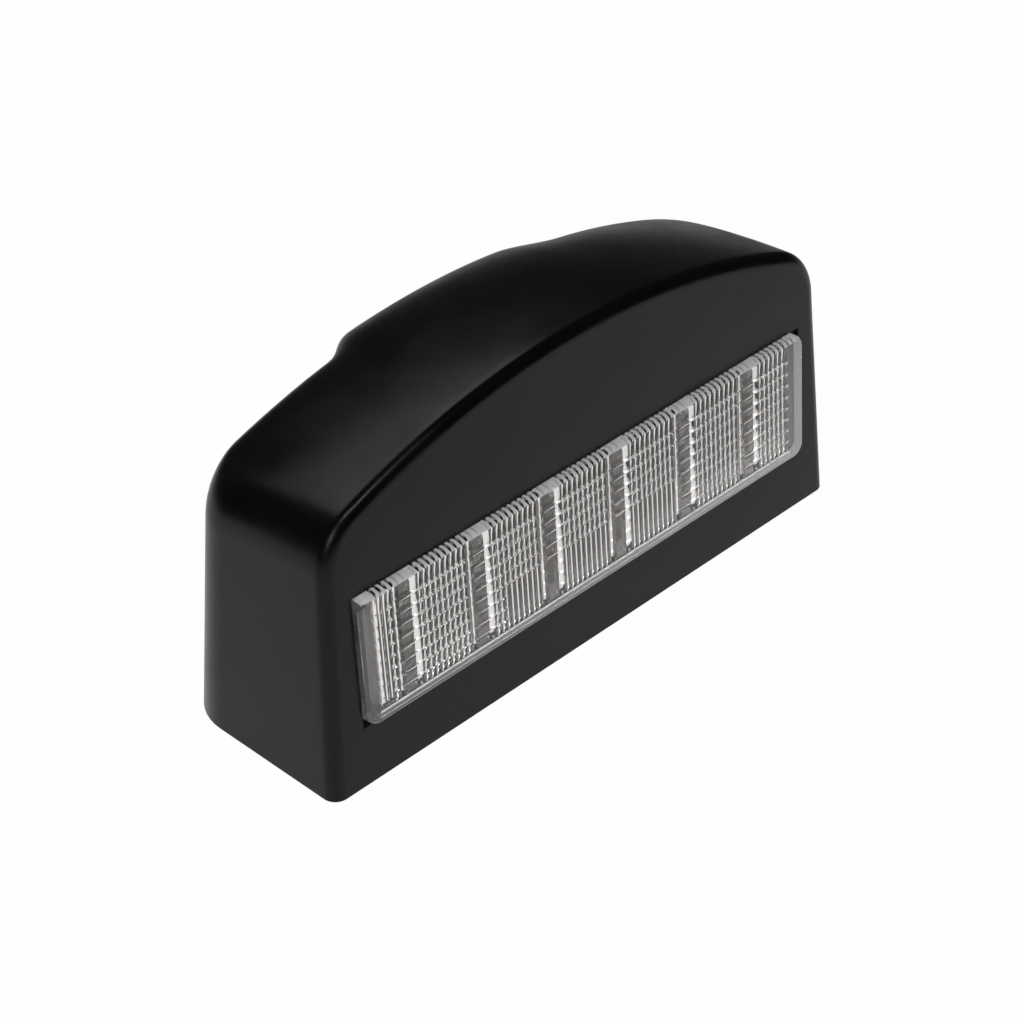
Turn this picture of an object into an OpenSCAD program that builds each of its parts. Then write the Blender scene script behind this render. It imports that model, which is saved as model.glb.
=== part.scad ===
// Number plate lamp: a black arched cover with a clear fluted lens, closed from below by a base plate.
// The plate carries the threaded inserts and the cable grommet, and a reflector holds two festoon bulbs.
// X runs along the lamp, the lens faces -Y and +Z is up. The origin is the middle of the two inserts,
// on the underside.

/* [Cover] */
// Length at the open bottom edge
cover_length = 105; // [100:1:112]
// Depth at the open bottom edge, without the cable bulge
cover_depth = 33.6; // [32:0.2:36]
// Height of the arch at the front face
cover_height = 53.2; // [51:0.2:58]
// Wall thickness of the moulding
wall = 2.2; // [1.8:0.1:2.4]
// Draft of every side wall, degrees
draft = 3.4; // [2:0.1:3.8]
// Height of the shoulders above the window, where the arched top would meet the ends
shoulder_room = 9.7; // [8:0.1:10.5]
// Radius of the two shoulders, seen from the front
shoulder_radius = 10; // [8:0.5:12]
// Radius of the edge round the front face
front_edge = 2.2; // [1.6:0.1:2.6]
// Radius of the two upright corners at the back, seen from above
rear_corner = 9.5; // [7:0.5:10]
// Even fall of the top from front to back
top_fall = 2.4; // [1:0.1:4]
// Extra fall where the top rounds over to the back
crown_drop = 4; // [2.5:0.1:4.5]
// Distance from the front face to where the top starts to round over to the back
crown_start = 2.6; // [2.4:0.2:9]

/* [Cable bulge] */
// Width of the bulge between the middles of its flanks
bulge_width = 37.2; // [34:0.2:42]
// Width over which each flank rises from the back
bulge_flank = 8.6; // [7:0.2:12]
// How far the bulge stands out from the back
bulge_depth = 5; // [4:0.1:6]
// Extra fall of the top towards the bulge's outer edge
bulge_drop = 3.1; // [2:0.1:4]

/* [Window] */
// Width of the front face on either side of the window
window_end = 6.5; // [6:0.1:8.5]
// Height of the window, measured up the face
window_height = 21.9; // [20:0.1:23]
// Height of the window's lower edge, measured up the face
window_bottom = 9.7; // [9.5:0.1:11]

/* [Lens] */
// Gap between lens and window on every side
lens_gap = 0.2; // [0.1:0.05:0.3]
// How far the lens stands proud of the front face
lens_proud = 1.3; // [0.8:0.1:2]
// Corner radius of the lens, seen from the front
lens_corner = 2.2; // [1.5:0.1:3]
// Rounding of the lens's front edge
lens_edge = 0.8; // [0.5:0.1:1]
// Thickness of the lens's front plate without the optics
lens_plate = 1.5; // [1.3:0.1:2]
// Clear margin between the lens's ends and its optics
lens_end_margin = 2.7; // [2.5:0.1:3.6]
// Clear margin under the optics
lens_low_margin = 1.7; // [1.5:0.1:3]
// Clear margin above the optics
lens_top_margin = 1.7; // [1.5:0.1:2.4]
// Width of the flange round the lens, behind the window
flange_width = 1.8; // [1.4:0.1:2]
// Thickness of that flange
flange_thick = 1.6; // [1.2:0.1:2]
// Thickness of the rubber ring between flange and cover
seal_thick = 1; // [0.8:0.1:1.4]
// Width of that rubber ring
seal_width = 1.5; // [1.2:0.1:1.6]

/* [Optics] */
// Distance between neighbouring main ribs
band_pitch = 14.15; // [13.9:0.05:14.2]
// How far the pattern of ribs lies to the right of the middle
band_shift = 0.1; // [0:0.05:0.3]
// Width of a main rib's sloping top
main_rib_width = 0.95; // [0.8:0.05:1.05]
// Depth of a main rib
main_rib_depth = 1.6; // [1.4:0.05:1.8]
// Distance from a main rib to the ridge of the wedge rib on its left
wedge_offset = 3.25; // [3.1:0.05:3.35]
// Width of a wedge rib
wedge_width = 1.3; // [1.2:0.05:1.4]
// Depth of a wedge rib
wedge_depth = 1.4; // [1.2:0.05:1.6]
// Distance from a main rib to the crest of the first reed on its right
first_reed = 1.55; // [1.5:0.05:1.65]
// Distance between neighbouring reeds
reed_pitch = 1.03; // [1:0.01:1.04]
// Width of a reed's top
reed_width = 0.72; // [0.66:0.02:0.76]
// Width of the raised lip beside a reed's crest
reed_lip = 0.2; // [0.15:0.01:0.3]
// Depth of a reed beside its lip
reed_depth = 0.8; // [0.7:0.05:1]
// Distance between the grooves across
row_pitch = 2; // [1.9:0.02:2.1]
// Height of the lowest row
low_row = 1.3; // [1:0.1:1.6]
// Height of a groove across
row_groove = 0.25; // [0.2:0.05:0.3]

/* [Base plate] */
// Thickness of the base plate
plate_thick = 2.2; // [2:0.1:2.6]
// Gap between the base plate and the cover at the bottom edge
plate_gap = 0.3; // [0.2:0.05:0.4]
// Width of the rubber ring round the base plate
base_seal_width = 1.5; // [1.2:0.1:1.6]
// Height of that rubber ring
base_seal_height = 1.5; // [1.2:0.1:1.6]

/* [Mounting] */
// Distance of each mounting insert from the end of the cover
insert_end = 27.5; // [26:0.5:29.5]
// Outer radius of an insert
insert_radius = 3.4; // [3.2:0.1:3.8]
// Thread core radius of an insert
insert_bore = 2.1; // [2:0.05:2.5]
// Length of an insert
insert_length = 7.2; // [6:0.1:7.4]
// Wall of plastic round an insert
insert_wall = 1.7; // [1.5:0.1:2]

/* [Cable inlet] */
// Radius of the grommet where it passes the base plate
grommet_radius = 5; // [4.5:0.1:5.2]
// Width of the grommet's two lips
grommet_lip = 1.2; // [1:0.1:1.3]
// Radius of the cable's way through the grommet
grommet_bore = 2.2; // [2:0.1:2.6]
// Height of the grommet's sleeve above the base plate
sleeve_height = 6; // [5:0.5:7]

/* [Screws] */
// Shank radius of the self-tapping screws
screw_radius = 1.2; // [1:0.05:1.3]
// Head radius of the self-tapping screws
head_radius = 2.8; // [2.5:0.1:2.9]
// Head height of the self-tapping screws
head_height = 1.6; // [1.4:0.1:1.8]
// Depth to which a screw enters a post of the cover
cover_bite = 6.5; // [5:0.5:7]
// Depth to which a screw enters a post of the reflector
reflector_bite = 3.8; // [3.4:0.1:4.2]
// Gap between a post of the cover and the end wall
post_gap = 2.6; // [2.4:0.1:3.5]
// Distance of the cover posts behind the middle
cover_post_y = 6; // [4:0.5:7]
// Distance of the reflector posts behind the front face
reflector_post_depth = 10.8; // [10:0.1:11.5]

/* [Reflector] */
// Inner radius of the reflector's trough
trough_radius = 10.6; // [10:0.1:11]
// Wall thickness of the reflector
reflector_wall = 1.3; // [1.1:0.1:1.6]
// Depth of the trough's axis behind the front face of the cover
trough_axis = 8; // [7.5:0.1:8.5]
// Space between the tips of the bulbs and the trough's end walls
trough_margin = 2.3; // [1.5:0.1:2.8]

/* [Bulbs] */
// Room between the tip of a bulb and the end of the cover
bulb_end = 13.3; // [13:0.1:14.3]
// Radius of the glass tube
glass_radius = 5.2; // [5:0.1:5.4]
// Wall of the glass tube
glass_wall = 0.6; // [0.5:0.05:0.8]
// Radius of the metal caps
cap_radius = 3.75; // [3.5:0.05:4]
// Distance of the bulb axis behind the front face of the cover
bulb_axis = 9.5; // [9:0.1:10]
// Gap between the tips of the two bulbs
bulb_gap = 6.4; // [6:0.1:7]

/* [Contacts] */
// Thickness of the brass strips
strip_thick = 0.5; // [0.4:0.05:0.6]
// Width of the contact tongues
tongue_width = 6.4; // [6:0.1:7]
// Width of the terminal tabs
tab_width = 6.3; // [4.8:0.1:6.3]
// Width of the long strip
strip_width = 3; // [2.5:0.1:3.5]

/* [Hidden] */
$fn = 48;

// Clearances: between pieces that touch in use, and round screws
touch = 0.05;
skim = 0.01;
insert_fit = 0.02;
hole_play = 0.4;
// How far cutting tools reach past what they cut
cut = 1;

// Steps of the lofted skins
front_steps = 4;
top_steps = 4;
corner_steps = 8;
shoulder_steps = 6;
arch_steps = 18;

// Length over which the top rounds over to the back
crown_length = cover_depth - crown_start;

// Window, and the arch whose rise is measured over the length of the cover
window_width = cover_length - 2 * window_end;
arch_rise = cover_height - window_bottom - window_height - shoulder_room;
arch_radius = (pow(cover_length / 2, 2) + arch_rise * arch_rise) / (2 * arch_rise);

// Lens and what follows from it
lens_width = window_width - 2 * lens_gap;
lens_height = window_height - 2 * lens_gap;
lens_bottom = window_bottom + lens_gap;
plate_back = lens_plate - lens_proud;
flange_front = wall + seal_thick + touch;
flange_back = flange_front + flange_thick;
optics_width = lens_width - 2 * lens_end_margin;
optics_bottom = lens_bottom + lens_low_margin;
optics_height = lens_height - lens_low_margin - lens_top_margin;
band_count = floor(optics_width / band_pitch);
reeds_per_block = 9;
row_count = 1 + floor((optics_height - low_row) / row_pitch);
// Ribs and reeds rise at this angle towards their crest and fall steeply behind it
crest_slope = 22;
crest_flank = 68;
optics_corner = 0.45;
// The pad under the reeds, and how far the optics sink into the plate
reed_pad = 0.3;
optics_root = 0.1;
// Lower middle of the optics, left without grooves across
plain_half = 1.25 * band_pitch;
plain_rows = 4;
// Reeds at the left end that no groove crosses
edge_reeds = 3;
edge_reed_pitch = 0.93;

// Screws, posts and pads
pad_height = 2;
pad_radius = head_radius + 0.6;
head_recess = head_height + 0.3;
post_foot = plate_thick + pad_height + touch;
post_radius = 3.2;
post_rib = 1.6;
post_roof = 3.5;
post_height = cover_bite + post_roof;
cover_post_x = cover_length / 2 - wall - post_gap - post_radius;
cover_posts = [[-cover_post_x, cover_post_y], [cover_post_x, cover_post_y]];
bulb_length = cover_length / 2 - bulb_end - bulb_gap / 2;
bulb_spacing = bulb_length + bulb_gap;
trough_length = bulb_spacing + bulb_length + 2 * trough_margin;
reflector_post_end = 4;
reflector_post_x = trough_length / 2 - reflector_post_end;
reflector_post_y = reflector_post_depth - cover_depth / 2;
reflector_posts = [[-reflector_post_x, reflector_post_y], [reflector_post_x, reflector_post_y]];
inserts = [insert_end - cover_length / 2, cover_length / 2 - insert_end];

// Grommet
lip_thick = 0.9;
sleeve_wall = 1.6;
cable_y = cover_depth / 2 + bulge_depth - wall - plate_gap - base_seal_width - grommet_radius - grommet_lip
    - hole_play;

// Reflector, measured in the tilted frame of the front face
axis_height = optics_bottom + optics_height / 2;
rim_front = flange_back + touch;
rim_back = rim_front + reflector_wall;
pad_back = trough_axis + trough_radius + reflector_wall + touch * 2;
strip_rise = 6.8;
strip_level = axis_height + strip_rise;
end_pad = 7;
pad_edge = 1;

// Bulbs
cone_length = 2.5;
cap_length = 7;
cap_skin = 0.3;
cap_overlap = 1.5;
tip_radius = 1.2;
// The solid end of a cap starts here, measured from the bulb's middle
solder_level = bulb_length / 2 - cone_length + 0.6;
tongue_inset = 0.9;
tongue_hole = tip_radius + (cap_radius - tip_radius) * tongue_inset / cone_length + touch;

// Half a cross-section of the cover from its foot to the top of the arch, as x and z
function half_section(half_width, height, arch, shoulder, foot) =
    let(
        top = height - arch,
        reach = (half_width * cos(draft) - shoulder - top * sin(draft)) / (arch - shoulder),
        turn = draft + acos(reach),
        centre = [(arch - shoulder) * cos(turn), top + (arch - shoulder) * sin(turn)]
    )
    concat(
        [[half_width - foot * tan(draft), foot]],
        [for (i = [0 : shoulder_steps])
            let(a = draft + (turn - draft) * i / shoulder_steps)
            centre + shoulder * [cos(a), sin(a)]],
        [for (i = [1 : arch_steps])
            let(x = arch * cos(turn) * (1 - i / arch_steps))
            [x, top + sqrt(arch * arch - x * x)]]
    );

// The whole cross-section, the left half mirrored from the right one
function section(half_width, height, arch, shoulder, foot) =
    let(half = half_section(half_width, height, arch, shoulder, foot), n = len(half))
    concat(half, [for (i = [n - 2 : -1 : 0]) [-half[i][0], half[i][1]]]);

// Stations of the cover from front to back: the front edge, the even top, then the rear corners
function stations(depth, edge, corner) =
    concat(
        [for (i = [0 : front_steps]) edge * (1 - cos(90 * i / front_steps))],
        [for (i = [1 : top_steps]) edge + (depth - corner - edge) * i / top_steps],
        [for (i = [1 : corner_steps]) depth - corner + corner * sin(90 * i / corner_steps)]
    );

// How far a quarter round of the given radius pulls in at a distance before its end
function pull_in(left, radius) = let(u = max(0, 1 - left / radius)) radius * (1 - sqrt(1 - u * u));

// Share of the bulge's depth at a place across the cover: 1 behind its middle, 0 beyond its flanks
function bulge_share(x, inset) =
    let(
        slope = atan(1.5 * bulge_depth / bulge_flank),
        from = (bulge_width - bulge_flank) / 2 - inset * tan(slope / 2),
        u = min(max((abs(x) - from) / bulge_flank, 0), 1)
    )
    1 - u * u * (3 - 2 * u);

// One row of the cover's skin, at a station; inset is 0 outside and the wall thickness inside
function cover_row(t, inset, foot) =
    let(
        depth = cover_depth - 2 * inset,
        front = pull_in(t, max(front_edge - inset, 0.4)),
        side = front + pull_in(depth - t, rear_corner - inset),
        along = max(0, 1 - (depth - t) / (crown_length - inset)),
        crown = 1 - sqrt(1 - along * along),
        fall = top_fall * (t + inset) / cover_depth,
        drop = front + crown * crown_drop
    )
    [for (p = section(cover_length / 2 - inset - side, cover_height - inset - fall - drop,
            arch_radius - inset - drop, max(shoulder_radius - inset - (side + drop) / 2, 1), foot))
        let(share = bulge_share(p[0], inset), z = p[1] - bulge_drop * share * crown)
        [p[0], (2 * t / depth - 1) * (depth / 2 - z * tan(draft)) + bulge_depth * share * along, z]];

function cover_rows(inset, foot) =
    [for (t = stations(cover_depth - 2 * inset, max(front_edge - inset, 0.4), rear_corner - inset))
        cover_row(t, inset, foot)];

// The back of the bulge at the foot, below the arched part of the last row
function back_foot(inset, foot) =
    let(row = cover_row(cover_depth - 2 * inset, inset, foot), first = shoulder_steps + 1)
    [for (j = [first : len(row) - 1 - first])
        [row[j][0], cover_depth / 2 - inset - foot * tan(draft) + bulge_depth * bulge_share(row[j][0], inset),
            foot]];

// The foot of the cover's skin as a flat outline, from its front right corner round the back
function foot_outline(inset) =
    let(rows = cover_rows(inset, 0), n = len(rows), last = len(rows[0]) - 1)
    [for (p = concat([for (i = [0 : n - 1]) rows[i][0]], back_foot(inset, 0),
            [for (i = [n - 1 : -1 : 0]) rows[i][last]]))
        [p[0], p[1]]];

// The cover's closed skin: its rows, a flat front, an upright back and a flat foot round its middle
module cover_skin(inset, foot) {
    rows = cover_rows(inset, foot);
    low = back_foot(inset, foot);
    n = len(rows[0]);
    m = len(rows);
    k = len(low);
    last = (m - 1) * n;
    below = m * n;
    middle = below + k;
    first = shoulder_steps + 1;
    sides = [for (i = [0 : m - 2]) for (j = [0 : n - 2])
        let(a = i * n + j, b = a + 1, c = a + n, d = b + n)
        each [[a, b, d], [a, d, c]]];
    back = [for (j = [0 : k - 2])
        let(a = last + first + j, b = below + j)
        each [[a, a + 1, b + 1], [a, b + 1, b]]];
    right_end = concat([for (j = [0 : first]) last + j], [below]);
    left_end = concat([for (j = [n - 1 - first : n - 1]) last + j], [below + k - 1]);
    outline = concat([for (i = [0 : m - 1]) i * n], [for (j = [0 : k - 1]) below + j],
        [for (i = [m - 1 : -1 : 0]) i * n + n - 1]);
    count = len(outline);
    bottom = [for (i = [0 : count - 1]) [middle, outline[i], outline[(i + 1) % count]]];
    polyhedron(concat([for (row = rows) each row], low, [[0, 0, foot]]),
        concat(sides, back, bottom, [[for (j = [n - 1 : -1 : 0]) j], right_end, left_end]));
}

// A closed skin through rows of points, each row a loop, with a flat face on the first and last row
module skin(rows) {
    n = len(rows[0]);
    m = len(rows);
    points = [for (row = rows) for (p = row) p];
    sides = [for (i = [0 : m - 2]) for (j = [0 : n - 1])
        let(a = i * n + j, b = i * n + (j + 1) % n, c = a + n, d = b + n)
        each [[a, b, d], [a, d, c]]];
    first = [for (j = [n - 1 : -1 : 0]) j];
    end = [for (j = [0 : n - 1]) (m - 1) * n + j];
    polyhedron(points, concat(sides, [first], [end]));
}

// A rectangle with round corners, centred in x and standing on y = 0
module round_rectangle(width, height, radius) {
    translate([-width / 2 + radius, 0]) square([width - 2 * radius, height]);
    translate([-width / 2, radius]) square([width, height - 2 * radius]);
    for (x = [-1, 1], y = [radius, height - radius])
        translate([x * (width / 2 - radius), y]) circle(radius);
}

// A slab with the outline of a rounded rectangle, upright, from one depth to another
module upright_slab(width, height, radius, bottom, front, back) {
    translate([0, back, bottom]) rotate([90, 0, 0]) linear_extrude(back - front)
        round_rectangle(width, height, radius);
}

// Puts children into the tilted frame of the front face: x along it, z up it, y into the lamp
module on_front() {
    translate([0, -cover_depth / 2, 0]) rotate([-draft, 0, 0]) children();
}

// The cover

// A post for a self-tapping screw, with a rib to the end wall
module cover_post(place) {
    reach = cover_length / 2 - wall - abs(place[0]);
    translate([place[0], place[1], post_foot]) cylinder(h = post_height, r = post_radius);
    translate([place[0] + (place[0] < 0 ? -reach : 0), place[1] - post_rib / 2, post_foot])
        cube([reach, post_rib, post_height]);
}

module housing() {
    color("#232326") difference() {
        union() {
            difference() {
                cover_skin(0, 0);
                cover_skin(wall, -cut);
            }
            for (place = cover_posts) cover_post(place);
        }
        on_front() translate([-window_width / 2, -cut, window_bottom])
            cube([window_width, wall + 2 * cut, window_height]);
        for (place = cover_posts) translate([place[0], place[1], post_foot - cut])
            cylinder(h = cover_bite + 2 * cut, r = screw_radius + touch);
    }
}

// The lens

// One ring of the lens's outer skin, pulled in on every side
function lens_ring(depth, inset) =
    let(r = lens_corner - inset, w = lens_width / 2 - inset, h = lens_height / 2 - inset)
    [for (q = [0 : 3]) for (i = [0 : 6])
        let(a = 90 * q + 15 * i, sx = q == 0 || q == 3 ? 1 : -1, sz = q < 2 ? 1 : -1)
        [sx * (w - r) + r * cos(a), depth, lens_bottom + lens_height / 2 + sz * (h - r) + r * sin(a)]];

module lens_skin() {
    steps = 3;
    rounded = [for (i = [0 : steps])
        let(a = 90 * i / steps) lens_ring(-lens_proud + lens_edge * (1 - cos(a)), lens_edge * (1 - sin(a)))];
    skin(concat(rounded, [lens_ring(flange_front + touch, 0)]));
}

// A section with its crest at x = 0: a flat top, a lip that rises to the crest, and a steep flank to the pad
module crest_section(width, lip, depth) {
    peak = depth + lip * tan(crest_slope);
    foot = (peak - reed_pad) / tan(crest_flank);
    translate([0, plate_back]) polygon(concat([[-width, -optics_root], [-width, depth]],
        lip < width ? [[-lip, depth]] : [], [[0, peak], [foot, reed_pad], [foot, -optics_root]]));
}

// Reeds with their crests at the places between two limits
module reed_sections(places, from, to) {
    for (x = places) if (x > from && x < to)
        translate([x, 0]) crest_section(reed_width, reed_lip, reed_depth);
}

function band_x(i) = (i - (band_count - 1) / 2) * band_pitch + band_shift;

reed_flank = (reed_depth + reed_lip * tan(crest_slope) - reed_pad) / tan(crest_flank);
crossed_reeds = concat(
    [band_x(0) - wedge_offset - wedge_width / 2 - reed_flank - touch],
    [for (i = [0 : band_count - 1]) for (k = [0 : reeds_per_block - 1])
        let(x = band_x(i) + first_reed + k * reed_pitch) if (x < optics_width / 2 - reed_flank) x]);
edge_reed_places = [for (k = [1 : edge_reeds]) crossed_reeds[0] - k * edge_reed_pitch];

// Where each row starts, from the bottom up, and the top of the optics
row_starts = concat([optics_bottom],
    [for (i = [1 : row_count - 1]) optics_bottom + low_row + (i - 1) * row_pitch],
    [optics_bottom + optics_height + row_groove]);

module lens_optics() {
    translate([-optics_width / 2, plate_back - optics_root, optics_bottom])
        cube([optics_width, optics_root + reed_pad, optics_height]);
    for (i = [0 : row_count - 1]) translate([0, 0, row_starts[i]])
        linear_extrude(row_starts[i + 1] - row_starts[i] - row_groove) {
            reed_sections(crossed_reeds, -optics_width / 2, i < plain_rows ? -plain_half : 0);
            reed_sections(crossed_reeds, i < plain_rows ? plain_half : 0, optics_width / 2);
        }
    translate([0, 0, optics_bottom]) linear_extrude(row_starts[plain_rows] - row_groove - optics_bottom)
        reed_sections(crossed_reeds, -plain_half, plain_half);
    translate([0, 0, optics_bottom]) linear_extrude(optics_height)
        reed_sections(edge_reed_places, -optics_width / 2, crossed_reeds[0]);
    for (i = [0 : band_count - 1]) translate([band_x(i), 0, optics_bottom]) linear_extrude(optics_height) {
        translate([main_rib_width / 2, 0])
            crest_section(main_rib_width, main_rib_width, main_rib_depth - main_rib_width * tan(crest_slope));
        translate([-wedge_offset, plate_back])
            polygon([[-wedge_width / 2, -optics_root], [wedge_width / 2, -optics_root],
                [wedge_width / 2, reed_pad], [0, wedge_depth], [-wedge_width / 2, reed_pad]]);
    }
}

module lens() {
    color([0.88, 0.88, 0.86, 0.45]) on_front() {
        difference() {
            union() {
                lens_skin();
                upright_slab(lens_width + 2 * (lens_gap + flange_width),
                    lens_height + 2 * (lens_gap + flange_width), lens_corner,
                    lens_bottom - lens_gap - flange_width, flange_front, flange_back);
            }
            upright_slab(optics_width, optics_height, optics_corner, optics_bottom, plate_back,
                flange_back + cut);
        }
        lens_optics();
    }
}

module lens_seal() {
    outer_width = lens_width + 2 * (lens_gap + flange_width);
    outer_height = lens_height + 2 * (lens_gap + flange_width);
    bottom = lens_bottom - lens_gap - flange_width;
    color("#141414") on_front() difference() {
        upright_slab(outer_width, outer_height, lens_corner, bottom, wall + touch, wall + seal_thick);
        upright_slab(outer_width - 2 * seal_width, outer_height - 2 * seal_width,
            lens_corner - seal_width / 2, bottom + seal_width, wall - cut, wall + seal_thick + cut);
    }
}

// The base

// The cover's inside at its foot, shrunk by a gap
module foot_area(gap) {
    polygon(foot_outline(wall + gap));
}

module base_plate() {
    boss_radius = insert_radius + insert_wall;
    boss_height = insert_length + 1;
    color("#1c1c1e") difference() {
        union() {
            linear_extrude(plate_thick) foot_area(plate_gap);
            for (place = concat(cover_posts, reflector_posts))
                translate([place[0], place[1], 0]) cylinder(h = plate_thick + pad_height, r = pad_radius);
            for (x = inserts) translate([x, 0, 0]) cylinder(h = boss_height, r = boss_radius);
        }
        for (place = concat(cover_posts, reflector_posts)) translate([place[0], place[1], 0]) {
            translate([0, 0, -cut])
                cylinder(h = plate_thick + pad_height + 2 * cut, r = screw_radius + hole_play);
            translate([0, 0, -cut]) cylinder(h = head_recess + cut, r = head_radius + hole_play / 2);
        }
        for (x = inserts) translate([x, 0, -cut])
            cylinder(h = insert_length + cut, r = insert_radius + insert_fit);
        translate([0, cable_y, -cut])
            cylinder(h = plate_thick + 2 * cut, r = grommet_radius + insert_fit);
        translate([0, cable_y, -cut]) cylinder(h = lip_thick + cut, r = grommet_radius + grommet_lip + touch);
    }
}

module base_seal() {
    color("#141414") translate([0, 0, plate_thick + skim]) linear_extrude(base_seal_height) difference() {
        foot_area(plate_gap + touch);
        foot_area(plate_gap + touch + base_seal_width);
    }
}

// A self-tapping screw, pointing up, its head down with a cross recess
module tapping_screw(bite) {
    slot = 0.6;
    reach = post_foot + bite;
    difference() {
        union() {
            translate([0, 0, head_recess - head_height]) cylinder(h = head_height, r = head_radius);
            cylinder(h = reach, r = screw_radius);
        }
        for (turn = [0, 90]) rotate(turn)
            translate([-head_radius * 0.6, -slot / 2, -cut])
                cube([head_radius * 1.2, slot, cut + head_recess - head_height + head_height * 0.6]);
    }
}

module base_screws() {
    color("#b9bcc0") {
        for (place = cover_posts) translate([place[0], place[1], 0]) tapping_screw(cover_bite);
        for (place = reflector_posts) translate([place[0], place[1], 0]) tapping_screw(reflector_bite);
    }
}

module insert(x) {
    color("#c9a24a") translate([x, 0, 0]) difference() {
        cylinder(h = insert_length - touch, r = insert_radius);
        translate([0, 0, -cut]) cylinder(h = insert_length + 2 * cut, r = insert_bore);
    }
}

module left_insert() insert(inserts[0]);
module right_insert() insert(inserts[1]);

module cable_grommet() {
    lip = grommet_radius + grommet_lip;
    foot = plate_thick + skim;
    groove_top = lip_thick - skim;
    color("#181818") translate([0, cable_y, 0]) rotate_extrude()
        polygon([[grommet_bore, 0], [lip, 0], [lip, groove_top], [grommet_radius, groove_top],
            [grommet_radius, foot], [lip, foot], [lip, foot + lip_thick],
            [grommet_bore + sleeve_wall, foot + 2 * lip_thick],
            [grommet_bore + sleeve_wall * 0.7, foot + sleeve_height], [grommet_bore, foot + sleeve_height]]);
}

// The reflector

// A section of the trough, standing in the y and z of the tilted frame, pushed along x
module along_x(length, middle = 0) {
    translate([middle - length / 2, 0, 0]) rotate([90, 0, 90]) linear_extrude(length) children();
}

module trough_disc(radius) {
    intersection() {
        translate([trough_axis, axis_height]) circle(radius);
        translate([rim_front, 0]) square([2 * trough_axis + 2 * trough_radius, 2 * axis_height]);
    }
}

module reflector_body() {
    outer = trough_radius + reflector_wall;
    rim = flange_width;
    pad_bottom = axis_height - tongue_width / 2 - pad_edge;
    difference() {
        union() {
            along_x(trough_length + 2 * reflector_wall) trough_disc(outer);
            upright_slab(lens_width + rim, lens_height + rim, lens_corner, lens_bottom - rim / 2,
                rim_front, rim_back);
            // Flat backs for the strips
            for (side = [-1, 1]) along_x(end_pad, side * (trough_length - end_pad) / 2)
                translate([trough_axis, pad_bottom])
                    square([pad_back - trough_axis, strip_level + strip_width + pad_edge - pad_bottom]);
            along_x(2 * (feed_half + pad_edge)) translate([trough_axis, pad_bottom])
                square([pad_back - trough_axis, tongue_width + 2 * pad_edge]);
        }
        along_x(trough_length) trough_disc(trough_radius);
    }
}

// Where the tongues stand, the sides that face their bulbs
bulb_middle = bulb_spacing / 2;
outer_tongue = bulb_middle + bulb_length / 2 - tongue_inset;
inner_tongue = bulb_middle - bulb_length / 2 + tongue_inset;

module reflector() {
    color("#d9d9d4") difference() {
        union() {
            on_front() reflector_body();
            for (place = reflector_posts) translate([place[0], place[1], post_foot])
                cylinder(h = axis_height - trough_radius - post_foot - touch, r = post_radius - 0.4);
        }
        for (place = reflector_posts) translate([place[0], place[1], post_foot - cut])
            cylinder(h = reflector_bite + cut + hole_play, r = screw_radius + touch);
        // Slots for the tongues and holes for the small screws
        on_front() {
            for (x = [-outer_tongue - strip_thick / 2, -inner_tongue + strip_thick / 2,
                    inner_tongue - strip_thick / 2, outer_tongue + strip_thick / 2])
                translate([x - strip_thick / 2 - touch, trough_axis + trough_radius / 2,
                        axis_height - tongue_width / 2 - touch])
                    cube([strip_thick + 2 * touch, trough_radius, tongue_width + 2 * touch]);
            for (p = contact_screw_places)
                translate([p[0], pad_back + cut, p[1]]) rotate([90, 0, 0])
                    cylinder(h = contact_screw_length + cut, r = contact_screw_radius + touch);
        }
    }
}

// The contacts

screw_room = 2.9;
strip_end = 2;
tab_gap = 3.5;
feed_screw = inner_tongue + screw_room;
feed_half = feed_screw + strip_end;
tab_left = feed_half + tab_gap;
contact_screw_radius = 0.9;
contact_screw_length = 2.6;
contact_screw_places = [
    [-trough_length / 2 + 2, strip_level + strip_width / 2],
    [trough_length / 2 - 2, strip_level + strip_width / 2],
    [-feed_screw, axis_height], [feed_screw, axis_height]];
tab_drop = 11;

// A tongue that stands forward from the strip, with the hole that the bulb's tip sits in
module tongue(x) {
    nose = bulb_axis - tongue_width / 2;
    difference() {
        translate([x - strip_thick / 2, nose, axis_height - tongue_width / 2])
            cube([strip_thick, pad_back + strip_thick - nose, tongue_width]);
        translate([x, bulb_axis, axis_height]) rotate([0, 90, 0])
            cylinder(h = 4 * strip_thick, r = tongue_hole, center = true);
    }
}

// A flat piece of strip against the reflector's back, from corner to corner
module strip_patch(left, right, low, high) {
    translate([left, pad_back + skim, low]) cube([right - left, strip_thick, high - low]);
}

module screw_hole(p) {
    translate([p[0], pad_back + 2 * cut, p[1]]) rotate([90, 0, 0])
        cylinder(h = 4 * cut, r = contact_screw_radius + touch);
}

module feed_strip() {
    color("#c8a14e") on_front() difference() {
        union() {
            tongue(-inner_tongue + strip_thick / 2);
            tongue(inner_tongue - strip_thick / 2);
            strip_patch(-feed_half, feed_half, axis_height - tongue_width / 2,
                axis_height + tongue_width / 2);
            strip_patch(-tab_width / 2, tab_width / 2, axis_height - tab_drop, axis_height);
        }
        screw_hole(contact_screw_places[2]);
        screw_hole(contact_screw_places[3]);
    }
}

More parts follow.
